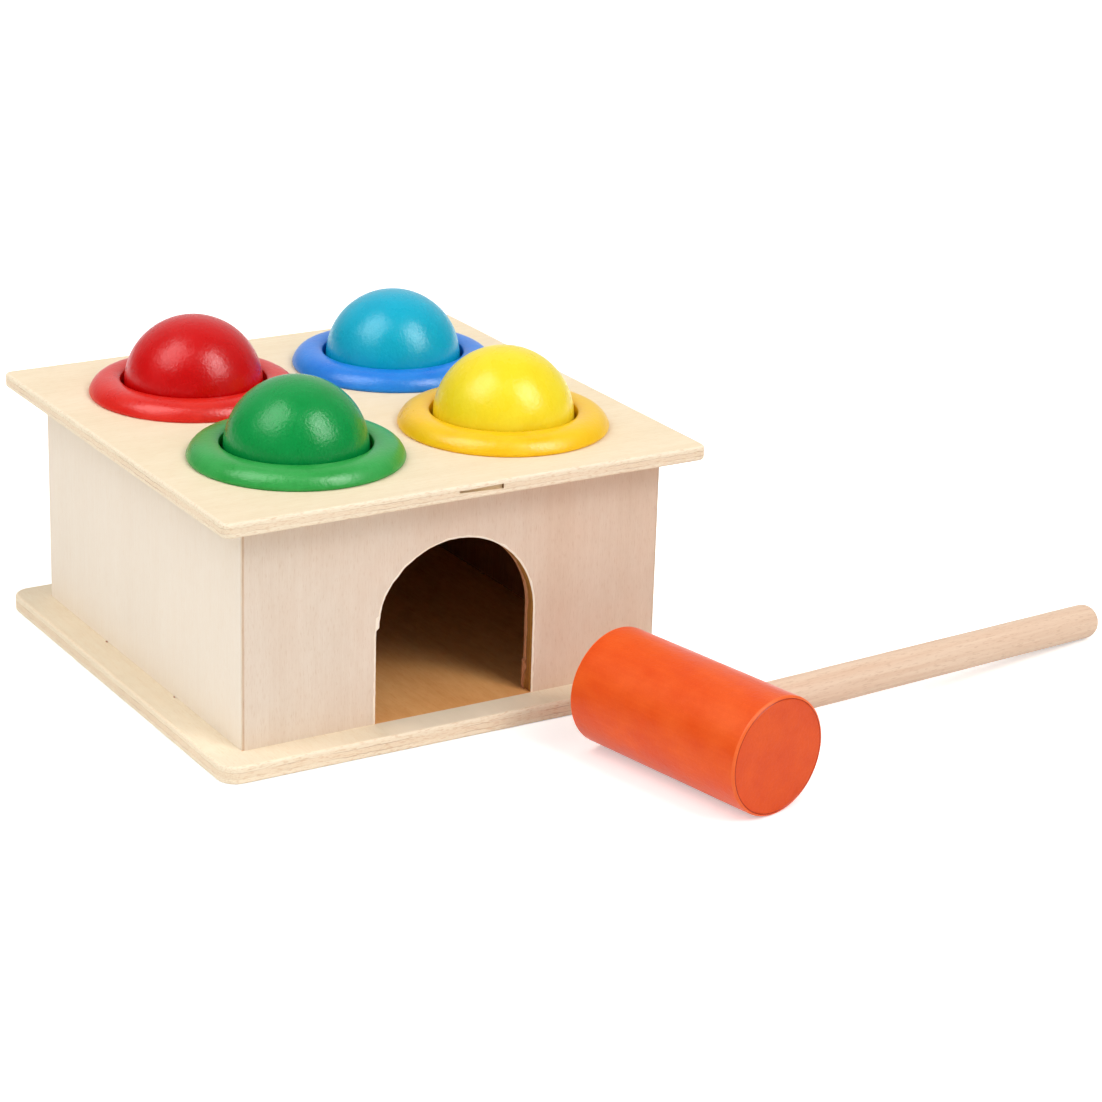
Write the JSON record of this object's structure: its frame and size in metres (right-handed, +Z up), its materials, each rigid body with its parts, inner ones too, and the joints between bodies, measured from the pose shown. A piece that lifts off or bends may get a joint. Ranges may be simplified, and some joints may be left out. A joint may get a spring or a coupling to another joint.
{
  "type": "ball pounding bench",
  "caption": "Plywood box with painted wooden balls gripped in turned rings on its top, an arched door that lets struck balls out, and a loose wooden hammer.",
  "frame": {"origin": "centre of the base plate's underside, on the floor", "axes": "+Z up, -Y out of the arched door, +X to the right of someone facing the door"},
  "size_m": [0.244, 0.2031, 0.0839],
  "materials": {
    "plate_plywood": "sanded pale plywood, ply layers on the edges",
    "panel_plywood": "sanded plywood with fine upright grain",
    "ring_paint_red": "satin paint",
    "ring_paint_blue": "satin paint",
    "ring_paint_green": "satin paint",
    "ring_paint_yellow": "satin paint",
    "elastic": "matt rubber",
    "ball_paint_red": "satin paint",
    "ball_paint_blue": "satin paint",
    "ball_paint_green": "satin paint",
    "ball_paint_yellow": "satin paint",
    "head_paint": "satin paint",
    "dowel": "sanded plain hardwood"
  },
  "bodies": {
    "bench": {"base_plate": "plate_plywood", "top_plate": "plate_plywood", "front_panel": "panel_plywood", "back_panel": "panel_plywood", "left_panel": "panel_plywood", "right_panel": "panel_plywood", "ring_red": "ring_paint_red", "ring_blue": "ring_paint_blue", "ring_green": "ring_paint_green", "ring_yellow": "ring_paint_yellow", "grip_ring_red": "elastic", "grip_ring_blue": "elastic", "grip_ring_green": "elastic", "grip_ring_yellow": "elastic"},
    "ball_red": {"ball_red": "ball_paint_red"},
    "ball_blue": {"ball_blue": "ball_paint_blue"},
    "ball_green": {"ball_green": "ball_paint_green"},
    "ball_yellow": {"ball_yellow": "ball_paint_yellow"},
    "hammer": {"hammer_head": "head_paint", "hammer_handle": "dowel"}
  },
  "joints": [
    {"name": "ball_red_drop", "type": "slide", "parent": "bench", "child": "ball_red", "axis": [0, 0, 1], "range_m": [-0.0442, 0.025], "deforming": ["grip_ring_red"]},
    {"name": "ball_blue_drop", "type": "slide", "parent": "bench", "child": "ball_blue", "axis": [0, 0, 1], "range_m": [-0.0442, 0.025], "deforming": ["grip_ring_blue"]},
    {"name": "ball_green_drop", "type": "slide", "parent": "bench", "child": "ball_green", "axis": [0, 0, 1], "range_m": [-0.0442, 0.025], "deforming": ["grip_ring_green"]},
    {"name": "ball_yellow_drop", "type": "slide", "parent": "bench", "child": "ball_yellow", "axis": [0, 0, 1], "range_m": [-0.0442, 0.025], "deforming": ["grip_ring_yellow"]},
    {"name": "hammer_lift", "type": "slide", "parent": "bench", "child": "hammer", "axis": [0, 0, 1], "range_m": [0, 0.12]}
  ]
}
